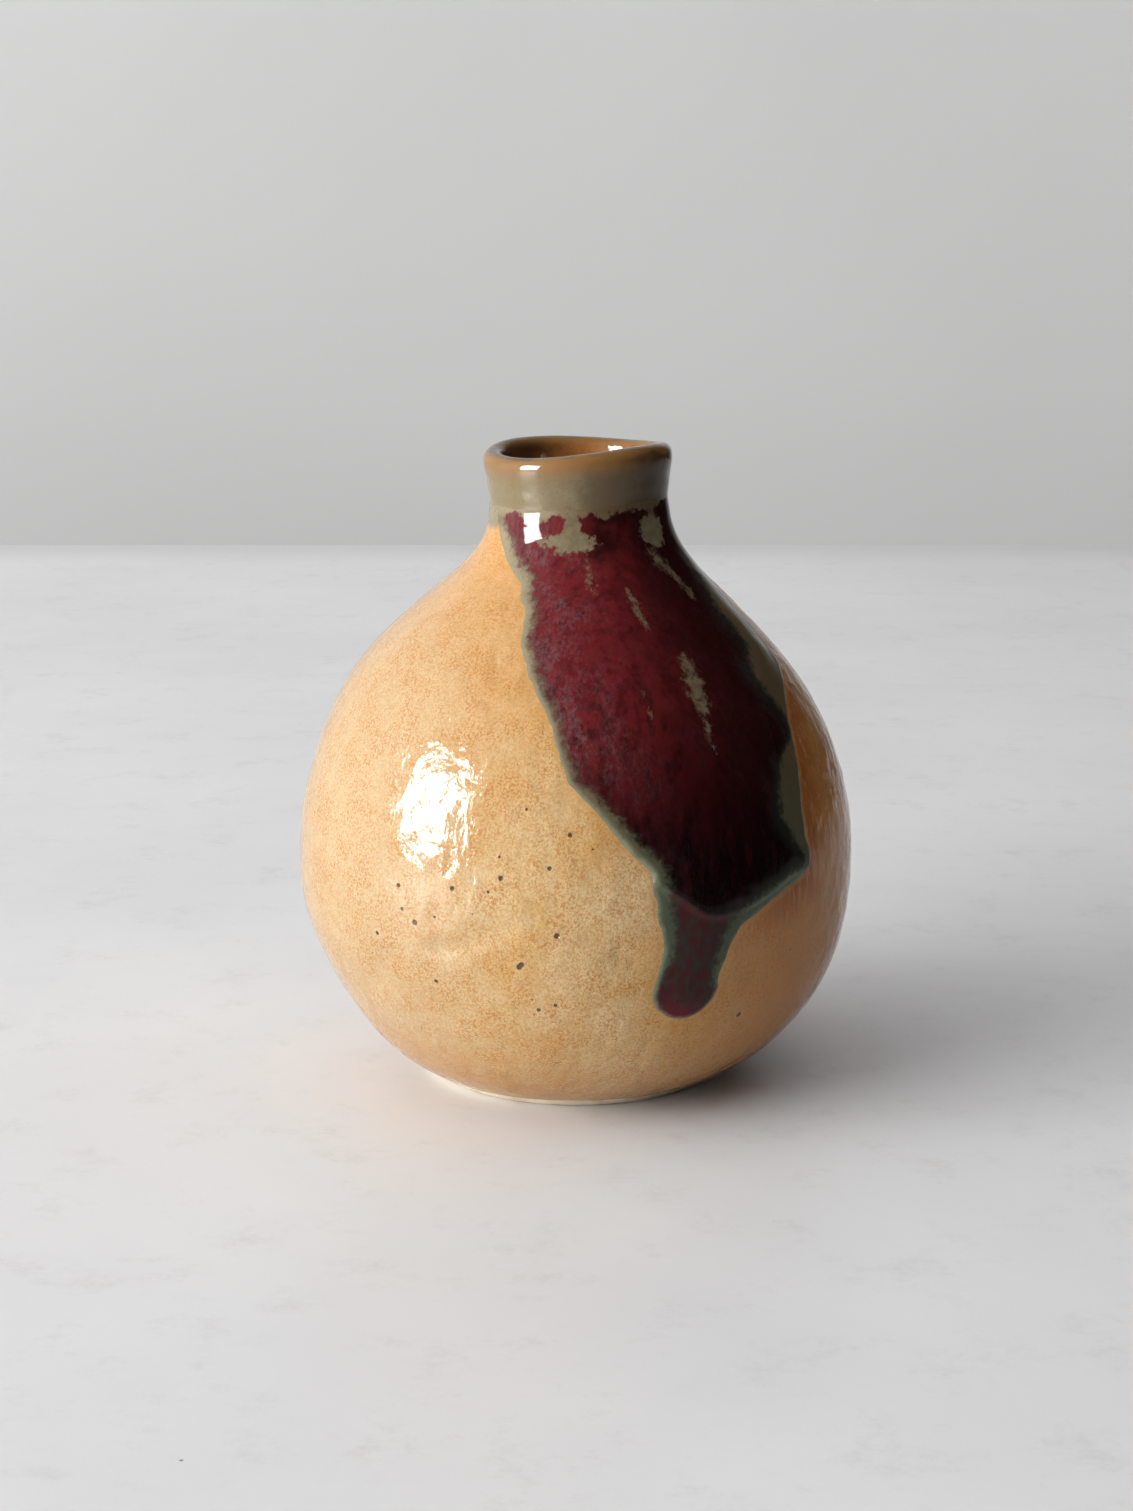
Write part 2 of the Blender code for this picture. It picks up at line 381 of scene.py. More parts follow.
class Skin:
    """The glazed surface. A place on it is its distance s along the section and its bearing in radians."""

    def __init__(self, nodes):
        mesh = nodes["stoneware_body"].data
        clay = BVHTree.FromPolygons([v.co for v in mesh.vertices], [p.vertices for p in mesh.polygons])
        low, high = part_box("celadon_collar")
        ridge = (high.x - low.x) / 2 - LIP_WALL / 2 * MM
        middle = sum(corner.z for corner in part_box("liner_glaze")) / 2

        def over_the_lip(point):
            return (point.z - high.z) * (1 if point.xy.length > ridge else -1)

        def down_inside(point):
            return math.atan2(point.xy.length, point.z - middle)

        outside = cad_columns(nodes["buff_glaze"], clay, lambda point: point.z)
        collar = cad_columns(nodes["celadon_collar"], clay, over_the_lip)
        inside = cad_columns(nodes["liner_glaze"], clay, down_inside)
        floor = min(inside[-1], key=lambda p: p[2])[2]
        centre = np.tile((0.0, 0.0, floor), (1, CAD_COLUMNS, 1))
        self.points = np.concatenate([outside, collar[1:], inside[1:], centre])
        steps = np.linalg.norm(np.diff(self.points, axis=0), axis=2).mean(axis=1)
        self.knots = np.concatenate([[0.0], np.cumsum(steps)])
        self.length = self.knots[-1]
        fine = np.linspace(0, self.length, SECTION_POINTS)
        heights = spline_weights(self.knots, fine) @ self.points[:, :, 2].mean(axis=1)
        crest = heights.argmax()
        self.up = (heights[: crest + 1], fine[: crest + 1])
        self.down = (heights[crest:][::-1], fine[crest:][::-1])
        self.profile = (fine, heights)

    def outside(self, height):
        """Distance along the section at which the outside has this height in millimetres."""
        return np.interp(np.asarray(height) * MM, *self.up)

    def inside(self, height):
        """Distance along the section at which the inside has this height in millimetres."""
        return np.interp(np.asarray(height) * MM, *self.down)

    def height(self, s):
        """Mean height in millimetres at this distance along the section."""
        return np.interp(s, *self.profile) / MM

    def at(self, s, bearing):
        """Points on the skin, as an array of rows."""
        stations, columns = self.points.shape[:2]
        around = spline_weights(self.knots, s) @ self.points.reshape(stations, columns * 3)
        around = around.reshape(len(s), columns, 3)
        return (around * turn_weights(bearing)[:, :, None]).sum(axis=1)

    def facing(self, s, bearing):
        """Unit normals out of the clay."""
        ds, turn = 0.1 * MM, math.radians(0.1)
        inner = np.minimum(s, self.length - 2 * ds)
        across = self.at(inner, bearing + turn) - self.at(inner, bearing - turn)
        along = self.at(inner + ds, bearing) - self.at(inner - ds, bearing)
        normal = np.cross(across, along)
        return normal / np.linalg.norm(normal, axis=1)[:, None]


skin = Skin(frame["nodes"])


# ---------------------------------------------------------------- helpers for shapes


def curve(table, x):
    """A smooth curve through the (x, y) pairs of a table, level past both ends."""
    knots, values = np.array(table, float).T
    x = np.clip(x, knots[0], knots[-1])
    slopes = np.gradient(values, knots)
    i = np.clip(np.searchsorted(knots, x) - 1, 0, len(knots) - 2)
    width = knots[i + 1] - knots[i]
    t = (x - knots[i]) / width
    level = values[i] * (1 + 2 * t) * (1 - t) ** 2 + values[i + 1] * t * t * (3 - 2 * t)
    return level + width * (slopes[i] * t * (1 - t) ** 2 - slopes[i + 1] * t * t * (1 - t))


def ease(value, low, high):
    """0 below low, 1 above high and a smooth rise between."""
    t = np.clip((value - low) / (high - low), 0, 1)
    return t * t * (3 - 2 * t)


def ripple(points, size, seed, flat=1.0):
    """Smooth noise between -1 and 1 at each point, in bumps of this size in millimetres."""
    shift = Vector((seed * 7.31, seed * 3.77, seed * 5.13))
    scale = Vector((1, 1, 1 / flat)) / (size * MM)
    return np.array([noise.noise(Vector(point) * scale + shift) for point in points])


def uneven(points, layers):
    """The sum of the layers of noise at each point, in millimetres."""
    return sum(height * ripple(points, size, seed, flat) for height, size, seed, flat in layers)


def circle(bearing, radius):
    """Points on a circle round the axis, for noise that depends on the bearing alone."""
    return np.stack([np.sin(bearing), -np.cos(bearing), 0 * bearing], axis=1) * radius * MM


def round_edge(distance, width, height):
    """The drop of a rounded edge: height at the edge itself, none from this width inwards."""
    out = 1 - np.clip(distance / width, 0, 1)
    return height * (1 - np.sqrt(1 - out**2))


def turned_grid(s, columns):
    """The places of a grid that goes right round the pot: one row for each s."""
    bearings = np.arange(columns) * math.tau / columns
    return np.repeat(s, columns), np.tile(bearings, len(s))


def grid_faces(rows, columns, closed):
    """Quads of a grid of points, wound to face out of the clay."""
    row, column = np.mgrid[0 : rows - 1, 0 : columns if closed else columns - 1]
    here, beside = row * columns + column, row * columns + (column + 1) % columns
    return np.stack([here, beside, beside + columns, here + columns], axis=-1).reshape(-1, 4)


def piece(name, node, points, faces, material, fields=None):
    """Makes a smooth piece that rides on the pot and stands for one CAD node."""
    mesh = bpy.data.meshes.new(name)
    mesh.from_pydata(points.tolist(), [], [list(face) for face in faces])
    for field, values in (fields or {}).items():
        mesh.attributes.new(field, "FLOAT", "POINT").data.foreach_set("value", values.astype(np.float32))
    mesh.materials.append(material)
    mesh.shade_smooth()
    made = bpy.data.objects.new(name, mesh)
    bpy.context.scene.collection.objects.link(made)
    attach(made, "root")
    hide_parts(node)


def near(points, marks):
    """Distance in millimetres from each point to the nearest of the marks."""
    tree = kdtree.KDTree(len(marks))
    for k, mark in enumerate(marks):
        tree.insert(mark, k)
    tree.balance()
    return np.array([tree.find(point)[2] for point in points]) / MM


def on_pot(bearing, height):
    """Points on the outside of the skin for arrays of bearing in degrees and height in millimetres."""
    return skin.at(skin.outside(np.atleast_1d(height)), np.radians(np.atleast_1d(bearing)))


# ---------------------------------------------------------------- where each glaze lies


def pour_edges(height):
    """Bearings of the left and right edge of the pour at each height, with their small wavers."""
    radius = np.linalg.norm(on_pot(0 * height, height)[:, :2], axis=1) / MM
    waver = np.degrees(POUR_WAVER / radius)
    line = np.stack([0 * height, 0 * height, height * MM], axis=1)
    left = curve(POUR_LEFT, height) + waver * uneven(line, LEFT_WAVER)
    right = curve(POUR_RIGHT, height) + waver * uneven(line, RIGHT_WAVER)
    below = np.clip((DRIP_ROUND_FROM - height) / (DRIP_ROUND_FROM - DRIP_END), 0, 0.99)
    closed = np.sqrt(1 - below**2)
    return tuple(DRIP_MIDDLE + (edge - DRIP_MIDDLE) * closed for edge in (left, right))


EDGE_HEIGHTS = np.linspace(DRIP_END, POUR_LEFT[-1][0], EDGE_POINTS)
LEFT_EDGE, RIGHT_EDGE = (on_pot(edge, EDGE_HEIGHTS) for edge in pour_edges(EDGE_HEIGHTS))
TIP = np.linspace(LEFT_EDGE[0], RIGHT_EDGE[0], TIP_POINTS)


def glaze_fields(points, s, bearing):
    """Where a point lies among the glazes, in millimetres: what the materials are mixed by."""
    degrees = np.degrees(np.remainder(bearing + math.pi, math.tau) - math.pi)
    height = skin.height(s)
    to_left, to_right = near(points, LEFT_EDGE), near(points, RIGHT_EDGE)
    edge = np.minimum(np.minimum(to_left, to_right), near(points, TIP))
    border = np.maximum(curve(BORDER_LEFT, height) - to_left, curve(BORDER_RIGHT, height) - to_right)
    tide = height - curve(TIDE, degrees)
    for spot, level, half_width, half_height in ISLANDS:
        centre = on_pot(spot, level)[0]
        flat = np.linalg.norm(points[:, :2] - centre[:2], axis=1) / MM / half_width
        island = (1 - np.hypot(flat, (points[:, 2] - centre[2]) / MM / half_height)) * half_height
        tide = np.maximum(tide, island)
    streak = np.full(len(points), -1.0)
    along = np.linspace(0, 1, STREAK_POINTS)
    for from_bearing, top, to_bearing, bottom, half, strength in STREAKS:
        run = on_pot(from_bearing + (to_bearing - from_bearing) * along, top + (bottom - top) * along)
        for spot, taper in zip(run, 0.6 + 0.4 * np.sin(math.pi * along)):
            away = np.linalg.norm(points - spot, axis=1) / (half * taper * MM)
            streak = np.maximum(streak, strength - away)
    return {
        "edge": edge,
        "left": to_left,
        "border": border,
        "tide": tide,
        "streak": streak,
        "drip": curve(ROLL, degrees) - height,
        "across": np.sin(bearing),
    }


# ---------------------------------------------------------------- materials


class Paint:
    """The node tree of one material.

    Most methods add nodes and return an output socket. Colour, roughness and bump set the shader.
    """

    def __init__(self, name, roughness, specular=0.5):
        self.material = bpy.data.materials.new(name)
        self.material.use_nodes = True
        self.tree = self.material.node_tree
        self.shader = self.tree.nodes["Principled BSDF"]
        self.shader.inputs["Roughness"].default_value = roughness
        self.shader.inputs["Specular IOR Level"].default_value = specular
        self.place = self.tree.nodes.new("ShaderNodeTexCoord").outputs["Object"]

    def node(self, kind, settings, inputs, output=0):
        """Adds a node with these settings and with its inputs linked or set."""
        made = self.tree.nodes.new(kind)
        for setting, value in settings.items():
            setattr(made, setting, value)
        for socket, value in inputs.items():
            if isinstance(value, bpy.types.NodeSocket):
                self.tree.links.new(value, made.inputs[socket])
            else:
                made.inputs[socket].default_value = value
        return made.outputs[output]

    def stretched(self, flow):
        """Object coordinates squeezed along the height, so that what is drawn there runs downwards."""
        return self.node("ShaderNodeMapping", {}, {"Vector": self.place, "Scale": (1, 1, 1 / flow)})

    def cloud(self, size, detail=2.0, roughness=0.5, flow=1.0, warp=0.0):
        """Noise from 0 to 1 in patches of this size in millimetres."""
        place = self.stretched(flow) if flow != 1 else self.place
        inputs = {"Vector": place, "Scale": 1 / (size * MM), "Detail": detail, "Roughness": roughness}
        inputs["Distortion"] = warp
        return self.node("ShaderNodeTexNoise", {"noise_dimensions": "3D"}, inputs)

    def specks(self, spacing, radius, share):
        """1 inside small round specks, about one for each cell of the spacing times the share."""
        voronoi = self.tree.nodes.new("ShaderNodeTexVoronoi")
        voronoi.inputs["Scale"].default_value = 1 / (spacing * MM)
        self.tree.links.new(self.place, voronoi.inputs["Vector"])
        lot = self.node("ShaderNodeSeparateColor", {}, {"Color": voronoi.outputs["Color"]})
        chosen = self.rise(lot, 1 - share, 1 - share + 0.01)
        inside = self.rise(voronoi.outputs["Distance"], radius / spacing, radius / spacing * 0.6)
        return self.sum("MULTIPLY", chosen, inside)

    def spots(self, marks, grown):
        """1 inside each (bearing, height, radius) mark on the outside of the pot, grown this many times."""
        total = 0.0
        for bearing, height, radius in marks:
            inputs = {0: self.place, 1: on_pot(bearing, height)[0]}
            away = self.node("ShaderNodeVectorMath", {"operation": "DISTANCE"}, inputs, "Value")
            reach = radius * grown * MM
            total = self.sum("MAXIMUM", total, self.rise(away, reach, reach * 0.5))
        return total

    def field(self, name):
        """A number carried by the mesh at each vertex."""
        return self.node("ShaderNodeAttribute", {"attribute_name": name}, {}, "Fac")

    def height(self):
        """Height above the table in metres."""
        return self.node("ShaderNodeSeparateXYZ", {}, {"Vector": self.place}, "Z")

    def side(self):
        """Distance towards +X in metres."""
        return self.node("ShaderNodeSeparateXYZ", {}, {"Vector": self.place}, "X")

    def depth(self):
        """Distance towards +Y in metres."""
        return self.node("ShaderNodeSeparateXYZ", {}, {"Vector": self.place}, "Y")

    def rise(self, value, low, high, least=0.0, most=1.0):
        """Least at low, most at high, smooth between and held past both. High may be below low."""
        inputs = {"Value": value, "From Min": low, "From Max": high, "To Min": least, "To Max": most}
        return self.node("ShaderNodeMapRange", {"interpolation_type": "SMOOTHSTEP"}, inputs)

    def sum(self, operation, first, second):
        """One arithmetic operation on two numbers."""
        return self.node("ShaderNodeMath", {"operation": operation}, {0: first, 1: second})

    def waver(self, value, noise_value, reach):
        """A value pushed up and down by noise as far as reach each way."""
        centred = self.sum("SUBTRACT", noise_value, 0.5)
        return self.sum("ADD", value, self.sum("MULTIPLY", centred, 2 * reach))

    def mix(self, share, first, second):
        """The first colour where the share is 0 and the second where it is 1."""
        made = self.tree.nodes.new("ShaderNodeMix")
        made.data_type = "RGBA"
        for socket, value in ((0, share), (6, first), (7, second)):
            if isinstance(value, bpy.types.NodeSocket):
                self.tree.links.new(value, made.inputs[socket])
            else:
                made.inputs[socket].default_value = value
        return made.outputs[2]

    def colour(self, value):
        """Links the shader's colour."""
        self.tree.links.new(value, self.shader.inputs["Base Color"])

    def roughness(self, value):
        """Links the shader's roughness."""
        self.tree.links.new(value, self.shader.inputs["Roughness"])

    def bump(self, *layers):
        """Raises the surface by each (height from 0 to 1, depth in millimetres) in turn."""
        normal = None
        for height, depth in layers:
            made = self.tree.nodes.new("ShaderNodeBump")
            made.inputs["Distance"].default_value = depth * MM
            self.tree.links.new(height, made.inputs["Height"])
            if normal:
                self.tree.links.new(normal, made.inputs["Normal"])
            normal = made.outputs["Normal"]
        self.tree.links.new(normal, self.shader.inputs["Normal"])


# Colours of the buff glaze before the light and the gloss fall on them, save the painted light and shade
# noted
CREAM = srgb(202, 178, 136)
TAN = srgb(188, 152, 97)
AMBER = srgb(188, 138, 80)
# Milky glaze; on the lit left, round the pinholes and in the halo's pale runs it is partly painted sheen and
# glints
MILK = srgb(195, 177, 147)
# Painted light: a greyer, dimmer cream for the side that the window lights
LIT_CREAM = srgb(178, 159, 126)
# Painted shade, on the right away from the window and near the foot
SHADE = srgb(176, 124, 74)
FRECKLE = srgb(170, 107, 40)
HALO = srgb(146, 78, 32)
IRON = srgb(62, 36, 24)
# Painted shade inside the pinholes
PINHOLE_SHADE = srgb(72, 47, 30)

# The celadon of the collar and of the pour's edges, and the lip
CELADON = srgb(96, 80, 58)
CELADON_PALE = srgb(136, 124, 100)
CELADON_LOW = srgb(72, 83, 66)
CELADON_RIM = srgb(122, 124, 104)
CELADON_FLECK = srgb(84, 72, 50)
COLLAR_OLIVE = srgb(112, 97, 66)
# Painted shade on the right of the collar, away from the window
COLLAR_SHADE = srgb(54, 36, 18)
LIP_BROWN = srgb(134, 94, 52)
LIP_TOP = srgb(96, 88, 70)
LIP_MAUVE = srgb(92, 76, 72)

# The copper red of the pour and of its drip
OXBLOOD = srgb(98, 27, 30)
OXBLOOD_DEEP = srgb(42, 9, 9)
OXBLOOD_BLACK = srgb(16, 3, 4)
OXBLOOD_VEIN = srgb(46, 12, 14)
MILKY = srgb(98, 90, 92)
TEAL = srgb(40, 47, 41)
DRIP_RED = srgb(60, 24, 24)
DRIP_TIP = srgb(88, 26, 34)

# The liner and the bare clay
LINER = srgb(160, 104, 54)
# Painted shade on the left inside the pot
LINER_SHADE = srgb(84, 56, 32)
LINER_FLECK = srgb(76, 44, 24)
BARE_CLAY = srgb(236, 222, 198)
BARE_CLAY_DARK = srgb(214, 194, 164)
CLAY_SPECK = srgb(96, 66, 44)

# The table, the wall and the shade that they fall into
TABLE_GREY = srgb(214, 214, 216)
TABLE_PALE = srgb(220, 220, 221)
TABLE_FAR = srgb(200, 200, 201)
TABLE_GRIME = srgb(160, 152, 146)
TABLE_SPOT = srgb(120, 110, 100)
WALL_GREY = srgb(203, 203, 203)
WALL_PALE = srgb(208, 208, 208)
ROOM_SHADE = srgb(40, 40, 42)

# Where the colours change, in metres: heights above the table, from where a change starts to its end
SHOULDER_WARMS = (0.045, 0.1)
# Painted shade near the foot
FOOT_IN_SHADE = (0.022, 0.004)
CELADON_DARKENS = (0.075, 0.035)
SHEETS_SHOW = (0.09, 0.07)
RED_BLACKENS = (0.080, 0.047)
NECK_IS_CELADON = (0.1025, 0.105)
TIP_REDDENS = (0.030, 0.023)

# Distances towards +X, in the same way
RIGHT_IN_SHADE = (0.005, 0.04)
LEFT_IN_LIGHT = (-0.005, -0.035)
# Milky clouds kept to the lit left, partly painted sheen
MILK_AND_SHEEN_TO_THE_LEFT = (0.03, -0.01)
HALO_TO_THE_RIGHT = (0.02, 0.045)
# Painted shade on the left inside the pot
LINER_SHADE_TO_THE_LEFT = (0.004, -0.012)


def celadon_colour(paint):
    """The green of the neck and of the pour's edges: pale on the left, olive on the right, green low down."""
    cloud = paint.cloud(3.0, 4, 0.6)
    right = paint.rise(paint.waver(paint.field("across"), cloud, 0.3), -0.45, 0.25)
    upper = paint.mix(right, CELADON_PALE, CELADON)
    low = paint.rise(paint.waver(paint.height(), cloud, 0.008), *CELADON_DARKENS)
    plain = paint.mix(low, upper, CELADON_LOW)
    fine = paint.rise(paint.cloud(0.5, 3, 0.6), 0.45, 0.75)
    return paint.mix(paint.sum("MULTIPLY", fine, 0.35), plain, CELADON_FLECK)


def buff_colour(paint):
    """Warm tan with clouds of milky glaze, a fine orange mottle and sparse iron specks, and painted light and
    shade.
    """
    base = paint.mix(paint.rise(paint.cloud(14, 4, 0.6), 0.3, 0.7), TAN, CREAM)
    warm = paint.rise(paint.height(), *SHOULDER_WARMS, most=0.8)
    base = paint.mix(warm, base, AMBER)
    # Painted shade on the right, away from the window
    base = paint.mix(paint.rise(paint.side(), *RIGHT_IN_SHADE), base, SHADE)
    # Painted light on the left: the greyer cream where the window lights the pot
    lit = paint.rise(paint.side(), *LEFT_IN_LIGHT, most=0.75)
    base = paint.mix(lit, base, LIT_CREAM)
    # Milky clouds of the glaze, kept to the lit left where they are partly painted sheen
    milk = paint.rise(paint.cloud(2.8, 5, 0.7), 0.5, 0.78, most=0.5)
    milk = paint.sum("MULTIPLY", milk, paint.rise(paint.side(), *MILK_AND_SHEEN_TO_THE_LEFT))
    base = paint.mix(milk, base, MILK)
    # Painted shade near the foot
    base = paint.mix(paint.rise(paint.height(), *FOOT_IN_SHADE, most=0.4), base, SHADE)
    mottle = paint.rise(paint.cloud(0.42, 4, 0.75), 0.43, 0.6)
    patchy = paint.rise(paint.cloud(5, 4, 0.6), 0.32, 0.68, least=0.4, most=0.9)
    base = paint.mix(paint.sum("MULTIPLY", mottle, patchy), base, FRECKLE)
    grains = paint.sum("MULTIPLY", paint.specks(1.7, 0.22, 0.3), 0.55)
    return paint.mix(paint.specks(3.4, 0.2, 0.25), paint.mix(grains, base, FRECKLE), IRON)


def buff_material():
    """The tan glaze, with a burnt halo beside the pour, pinholes with painted shade in them and partly
    painted glints round them, and celadon over its top.
    """
    paint = Paint("buff glaze", 0.06, 0.22)
    base = buff_colour(paint)
    beside = paint.rise(paint.waver(paint.field("edge"), paint.cloud(4, 4), 3.0), 8.0, 0.0)
    right = paint.rise(paint.side(), *HALO_TO_THE_RIGHT)
    # Pale runs in the halo: partly milky glaze, partly painted highlight streaks
    milk_and_glint_runs = paint.rise(paint.cloud(1.1, 4, 0.6, flow=9.0), 0.5, 0.72, most=0.45)
    halo = paint.mix(milk_and_glint_runs, HALO, MILK)
    base = paint.mix(paint.sum("MULTIPLY", beside, right), base, halo)
    rim = paint.rise(paint.waver(paint.field("edge"), paint.cloud(2, 3), 0.6), 0.9, 0.2, most=0.4)
    base = paint.mix(rim, base, AMBER)
    # Pale rims round the pinholes: partly real, partly painted glints
    base = paint.mix(paint.sum("MULTIPLY", paint.spots(PINHOLES, 2.2), 0.12), base, MILK)
    pits = paint.spots(PINHOLES, 1.0)
    # Painted shade inside the pinholes
    base = paint.mix(paint.sum("MULTIPLY", pits, 0.9), base, PINHOLE_SHADE)
    tide = paint.waver(paint.field("tide"), paint.cloud(2.5, 3), 0.5)
    base = paint.mix(paint.rise(tide, -0.6, 0.9), base, celadon_colour(paint))
    paint.colour(base)
    swells = paint.cloud(2.2, 3, 0.55)
    runs = paint.cloud(1.3, 3, 0.6, flow=3.0)
    dimples = paint.specks(2.4, 0.25, 0.3)
    paint.bump((swells, 0.16), (runs, 0.09), (dimples, -0.05), (pits, -0.2))
    return paint.material


def celadon_material():
    """The olive collar: browner round the lip, with painted shade on the right, and the liner's colour
    inside.
    """
    paint = Paint("celadon glaze", 0.08, 0.25)
    base = celadon_colour(paint)
    base = paint.mix(paint.rise(paint.field("across"), 0.2, -0.4, most=0.5), base, COLLAR_OLIVE)
    lip = paint.waver(paint.field("lip"), paint.cloud(4, 4), 1.4)
    base = paint.mix(paint.rise(lip, 5.6, 1.4, most=0.85), base, LIP_BROWN)
    # Painted shade on the collar's right, away from the window
    right_shade = paint.rise(paint.waver(paint.field("across"), paint.cloud(5, 3), 0.3), 0.4, 0.8, most=0.7)
    base = paint.mix(paint.sum("MULTIPLY", right_shade, paint.rise(lip, 1.2, 2.2)), base, COLLAR_SHADE)
    top = paint.rise(paint.waver(paint.field("lip"), paint.cloud(2.5, 4), 0.8), 1.1, 0.3)
    base = paint.mix(paint.sum("MULTIPLY", top, 0.8), base, LIP_TOP)
    mauve = paint.rise(paint.cloud(4, 3), 0.5, 0.62)
    left = paint.rise(paint.field("across"), 0.2, -0.4)
    base = paint.mix(paint.sum("MULTIPLY", paint.sum("MULTIPLY", mauve, top), left), base, LIP_MAUVE)
    inside = paint.rise(paint.field("inside"), 0.8, 3.0)
    base = paint.mix(inside, base, liner_colour(paint))
    paint.colour(base)
    paint.bump((paint.cloud(2.5, 2), 0.03), (paint.cloud(0.7, 2), 0.006))
    return paint.material


def liner_colour(paint):
    """Orange-brown, darker on the left with painted shade, and a fine dark mottle."""
    # Painted shade on the left inside, the side turned away from the window
    left = paint.waver(paint.side(), paint.cloud(6, 4, 0.6), 0.012)
    base = paint.mix(paint.rise(left, *LINER_SHADE_TO_THE_LEFT), LINER, LINER_SHADE)
    mottle = paint.rise(paint.cloud(0.7, 4, 0.7), 0.5, 0.75)
    return paint.mix(paint.sum("MULTIPLY", mottle, 0.6), base, LINER_FLECK)


def liner_material():
    """The glaze inside the pot."""
    paint = Paint("liner glaze", 0.14)
    paint.colour(liner_colour(paint))
    paint.bump((paint.cloud(2.5, 2), 0.04), (paint.cloud(0.7, 2), 0.01))
    return paint.material


def red_colour(paint):
    """Copper red streaked the way it ran: greyed by milk near the left edge, black to the right and low."""
    runs = paint.cloud(3.4, 4, 0.6, flow=5.0, warp=0.3)
    right = paint.rise(paint.waver(paint.field("across"), runs, 0.3), 0.05, 0.75)
    low = paint.rise(paint.waver(paint.height(), runs, 0.014), *RED_BLACKENS)
    base = paint.mix(right, OXBLOOD, OXBLOOD_DEEP)
    sheets = paint.rise(paint.cloud(2.6, 4, 0.6, flow=12.0), 0.5, 0.64, most=0.7)
    sheets = paint.sum("MULTIPLY", sheets, paint.rise(paint.height(), *SHEETS_SHOW))
    base = paint.mix(sheets, base, OXBLOOD_DEEP)
    base = paint.mix(low, base, OXBLOOD_BLACK)
    under_tide = paint.rise(paint.waver(paint.field("tide"), paint.cloud(1.5, 4), 1.5), -3.0, -0.8)
    under_tide = paint.sum("MULTIPLY", under_tide, paint.rise(paint.field("across"), -0.05, 0.25))
    base = paint.mix(under_tide, base, OXBLOOD_DEEP)
    vein = paint.rise(paint.cloud(1.6, 5, 0.65, flow=5.0), 0.46, 0.7, most=0.65)
    base = paint.mix(vein, base, OXBLOOD_VEIN)
    milk = paint.rise(paint.cloud(0.75, 6, 0.8, flow=2.6), 0.38, 0.76)
    drifts = paint.rise(paint.cloud(5, 4, 0.6, flow=2.5), 0.36, 0.66, least=0.25)
    inshore = paint.rise(paint.waver(paint.field("left"), runs, 8.0), 17.0, 1.0, least=0.08)
    milk = paint.sum("MULTIPLY", paint.sum("MULTIPLY", milk, drifts), paint.rise(low, 0.8, 0.1, least=0.08))
    base = paint.mix(paint.sum("MULTIPLY", milk, inshore), base, MILKY)
    offshore = paint.rise(paint.waver(paint.field("border"), runs, 3.0), -5.0, -0.5)
    teal = paint.sum("MULTIPLY", offshore, paint.rise(paint.field("across"), 0.3, 0.6))
    base = paint.mix(paint.sum("MULTIPLY", teal, paint.rise(milk, 0.0, 0.4, least=0.5)), base, TEAL)
    drip = paint.rise(paint.waver(paint.field("drip"), paint.cloud(1.5), 0.3), -0.2, 0.6)
    tip = paint.rise(paint.waver(paint.height(), paint.cloud(2, 4), 0.006), *TIP_REDDENS)
    tip = paint.sum("MULTIPLY", tip, paint.rise(paint.field("left"), 6.0, 1.0))
    below = paint.mix(paint.rise(paint.cloud(1.2, 5, 0.7, flow=2.0), 0.42, 0.68), DRIP_RED, TEAL)
    return paint.mix(drip, base, paint.mix(tip, below, DRIP_TIP))


def pour_material():
    """The red, with celadon along its edges, above the tide line and in its islands and streaks."""
    paint = Paint("copper red glaze", 0.05, 0.13)
    base = red_colour(paint)
    celadon = celadon_colour(paint)
    ragged = paint.cloud(1.4, 4, 0.65)
    broken = paint.cloud(1.2, 5, 0.75, flow=2.5)
    border = paint.rise(paint.waver(paint.field("border"), ragged, 2.0), -1.6, 0.8)
    tide = paint.rise(paint.waver(paint.field("tide"), ragged, 2.0), -0.4, 0.4)
    streak = paint.rise(paint.waver(paint.field("streak"), broken, 2.0), -0.2, 0.8, most=0.75)
    patches = paint.mix(paint.cloud(1.5, 4), CELADON_PALE, CELADON_FLECK)
    neck = paint.mix(paint.rise(paint.height(), *NECK_IS_CELADON), patches, celadon)
    base = paint.mix(border, base, paint.mix(border, TEAL, celadon))
    rim = paint.rise(paint.waver(paint.field("edge"), ragged, 0.8), 1.2, 0.2, most=0.6)
    base = paint.mix(rim, base, CELADON_RIM)
    base = paint.mix(streak, base, patches)
    paint.colour(paint.mix(tide, base, neck))
    paint.bump((paint.cloud(3.5, 2), 0.03))
    return paint.material


def clay_material():
    """Bare fired clay, seen at the foot and under the pot."""
    paint = Paint("fired stoneware", 0.75, 0.3)
    base = paint.mix(paint.rise(paint.cloud(3, 4, 0.6), 0.35, 0.7), BARE_CLAY, BARE_CLAY_DARK)
    base = paint.mix(paint.specks(2.6, 0.3, 0.35), base, CLAY_SPECK)
    paint.colour(base)
    paint.roughness(paint.rise(paint.cloud(2, 3), 0.3, 0.7, least=0.6, most=0.9))
    paint.bump((paint.cloud(0.8, 4, 0.7), 0.05), (paint.cloud(3, 2), 0.1))
    return paint.material


# ---------------------------------------------------------------- the five pieces


def relief(points, height, dimples):
    """How far the glaze stands off the turned form, in millimetres, from the hand that threw it."""
    stands = uneven(points, THROWN) + dimples * uneven(points, DIMPLED)
    along = np.linspace(0, 1, DENT_POINTS)
    for from_bearing, start, to_bearing, end, half, depth in DENTS:
        run = on_pot(from_bearing + (to_bearing - from_bearing) * along, start + (end - start) * along)
        stands -= depth * np.exp(-((near(points, run) / half) ** 2))
    return stands * ease(height, *NECK_SMOOTHS) * ease(height, *FOOT_SMOOTHS)


def raised(s, bearing, lift):
    """Points this many millimetres above the skin."""
    return skin.at(s, bearing) + skin.facing(s, bearing) * (lift * MM)[:, None]


